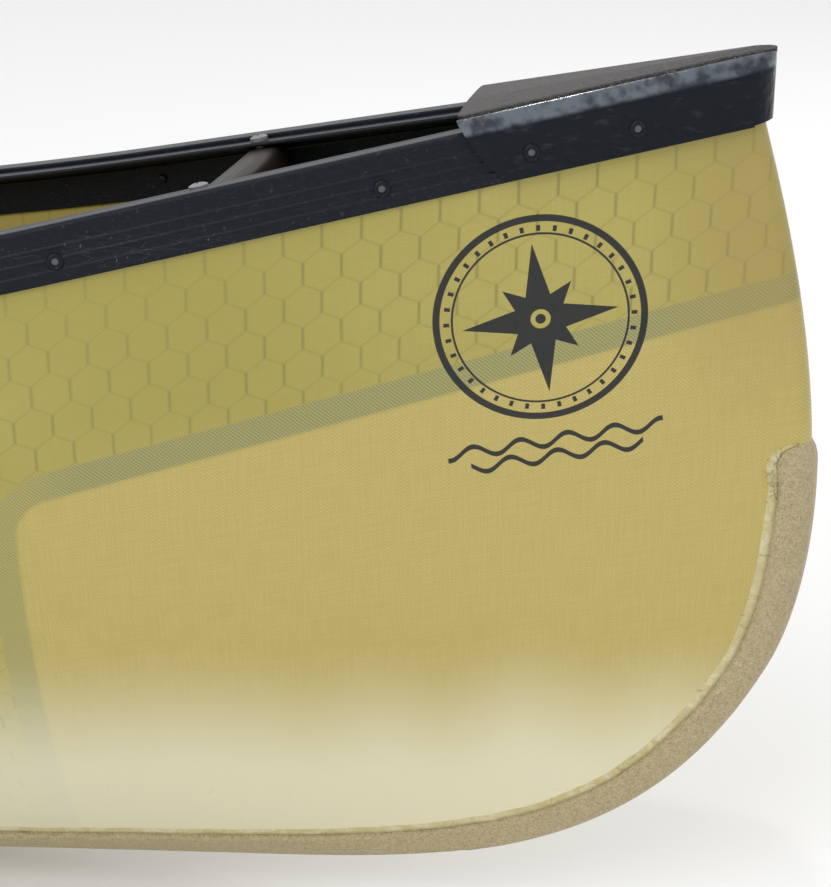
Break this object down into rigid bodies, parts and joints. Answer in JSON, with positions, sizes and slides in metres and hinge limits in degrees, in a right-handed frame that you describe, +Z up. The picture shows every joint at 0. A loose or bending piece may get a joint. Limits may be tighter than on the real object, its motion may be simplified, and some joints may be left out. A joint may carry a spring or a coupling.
{
  "type": "open touring canoe",
  "caption": "Long open tandem canoe with a recurved stem, black riveted gunwales, end caps, felt skid plates, float tanks, yoke, thwart, fixed stern seat and sliding bow seat.",
  "frame": {"origin": "middle of the canoe at the lowest point of the bottom", "axes": "+X towards the bow along the length, +Y to port, +Z up"},
  "size_m": [5.0338, 0.8666, 0.5478],
  "materials": {
    "aramid_skin": "translucent yellow aramid laminate, clear resin",
    "painted_gunwale": "black painted aluminium extrusion, light scratches",
    "painted_rivet": "black painted pop rivets",
    "end_cap_vinyl": "black formed vinyl, wrinkle grain",
    "skid_felt": "resin soaked aramid felt",
    "tank_laminate": "aramid laminate, unpolished",
    "ash_wood": "varnished ash",
    "steel_fastener": "stainless steel",
    "seat_webbing": "black woven webbing",
    "slide_tube": "satin anodised",
    "clamp_plastic": "moulded",
    "block_plastic": "slippery polyethylene"
  },
  "bodies": {
    "boat": {"hull": "aramid_skin", "outwale_starboard": "painted_gunwale", "outwale_port": "painted_gunwale", "inwale_starboard": "painted_gunwale", "inwale_port": "painted_gunwale", "gunwale_rivets_starboard": "painted_rivet", "gunwale_rivets_port": "painted_rivet", "bow_end_cap": "end_cap_vinyl", "stern_end_cap": "end_cap_vinyl", "bow_cap_rivets": "painted_rivet", "stern_cap_rivets": "painted_rivet", "bow_skid_plate": "skid_felt", "stern_skid_plate": "skid_felt", "bow_float_tank": "tank_laminate", "stern_float_tank": "tank_laminate", "bow_carry_handle": "ash_wood", "stern_carry_handle": "ash_wood", "yoke": "ash_wood", "stern_thwart": "ash_wood", "crosspiece_screws": "steel_fastener", "crosspiece_washers": "steel_fastener", "crosspiece_nuts": "steel_fastener", "stern_seat_front_rail": "ash_wood", "stern_seat_rear_rail": "ash_wood", "stern_seat_side_rails": "ash_wood", "stern_seat_webbing": "seat_webbing", "bow_seat_front_bar": "ash_wood", "bow_seat_rear_bar": "ash_wood", "hanger_screws": "steel_fastener", "hanger_spacers": "ash_wood", "hanger_washers": "steel_fastener", "hanger_nuts": "steel_fastener", "slide_tube_starboard": "slide_tube", "slide_tube_port": "slide_tube", "tube_clamps": "clamp_plastic"},
    "sliding_seat": {"slide_blocks": "block_plastic", "slide_seat_front_rail": "ash_wood", "slide_seat_rear_rail": "ash_wood", "slide_seat_side_rails": "ash_wood", "slide_seat_webbing": "seat_webbing", "slide_block_screws": "steel_fastener"}
  },
  "joints": [
    {"name": "seat_slide", "type": "slide", "parent": "boat", "child": "sliding_seat", "axis": [1, 0, 0], "range_m": [-0.09, 0.09]}
  ]
}
